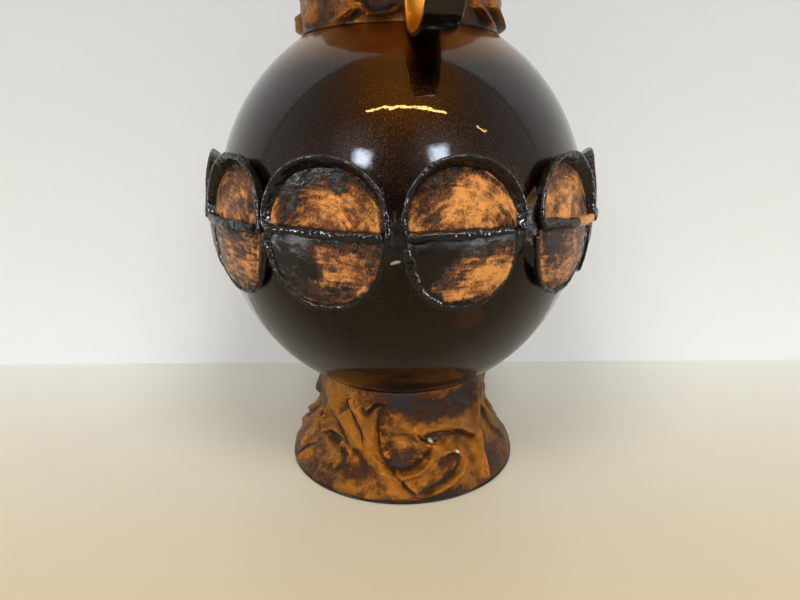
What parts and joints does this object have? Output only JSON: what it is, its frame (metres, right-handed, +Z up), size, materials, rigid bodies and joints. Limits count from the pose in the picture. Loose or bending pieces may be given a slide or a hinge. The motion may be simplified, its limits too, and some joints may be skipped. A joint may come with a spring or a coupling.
{
  "type": "metal vase",
  "caption": "Round-bodied lacquered metal vase with a belt of raised medallions, a wrinkled copper-coloured foot and neck, and a closed strap loop on the neck.",
  "frame": {"origin": "on the floor under the vase's axis, at the middle of the foot's underside", "axes": "+Z up along the axis, -Y towards the side that carries the strap loop, +X to the right as seen from that side"},
  "size_m": [0.2154, 0.2156, 0.2933],
  "materials": {
    "brown_lacquer": "glossy near-black brown lacquer with fine copper flecks",
    "black_lacquer": "glossy black lacquer",
    "copper_patina": "rough brushed copper with a black patina"
  },
  "bodies": {
    "root": {"bowl_lower": "brown_lacquer", "bowl_upper": "brown_lacquer", "foot_cone": "black_lacquer", "foot_ring": "black_lacquer", "foot_skin": "copper_patina", "mouth_lip": "black_lacquer", "neck_skin": "copper_patina", "neck_tube": "black_lacquer", "pod_01_bar": "black_lacquer", "pod_01_lower_rim": "black_lacquer", "pod_01_pad": "copper_patina", "pod_01_upper_rim": "black_lacquer", "pod_02_bar": "black_lacquer", "pod_02_lower_rim": "black_lacquer", "pod_02_pad": "copper_patina", "pod_02_upper_rim": "black_lacquer", "pod_03_bar": "black_lacquer", "pod_03_lower_rim": "black_lacquer", "pod_03_pad": "copper_patina", "pod_03_upper_rim": "black_lacquer", "pod_04_bar": "black_lacquer", "pod_04_lower_rim": "black_lacquer", "pod_04_pad": "copper_patina", "pod_04_upper_rim": "black_lacquer", "pod_05_bar": "black_lacquer", "pod_05_lower_rim": "black_lacquer", "pod_05_pad": "copper_patina", "pod_05_upper_rim": "black_lacquer", "pod_06_bar": "black_lacquer", "pod_06_lower_rim": "black_lacquer", "pod_06_pad": "copper_patina", "pod_06_upper_rim": "black_lacquer", "pod_07_bar": "black_lacquer", "pod_07_lower_rim": "black_lacquer", "pod_07_pad": "copper_patina", "pod_07_upper_rim": "black_lacquer", "pod_08_bar": "black_lacquer", "pod_08_lower_rim": "black_lacquer", "pod_08_pad": "copper_patina", "pod_08_upper_rim": "black_lacquer", "pod_09_bar": "black_lacquer", "pod_09_lower_rim": "black_lacquer", "pod_09_pad": "copper_patina", "pod_09_upper_rim": "black_lacquer", "pod_10_bar": "black_lacquer", "pod_10_lower_rim": "black_lacquer", "pod_10_pad": "copper_patina", "pod_10_upper_rim": "black_lacquer", "pod_11_bar": "black_lacquer", "pod_11_lower_rim": "black_lacquer", "pod_11_pad": "copper_patina", "pod_11_upper_rim": "black_lacquer", "strap_loop": "black_lacquer"}
  },
  "joints": []
}
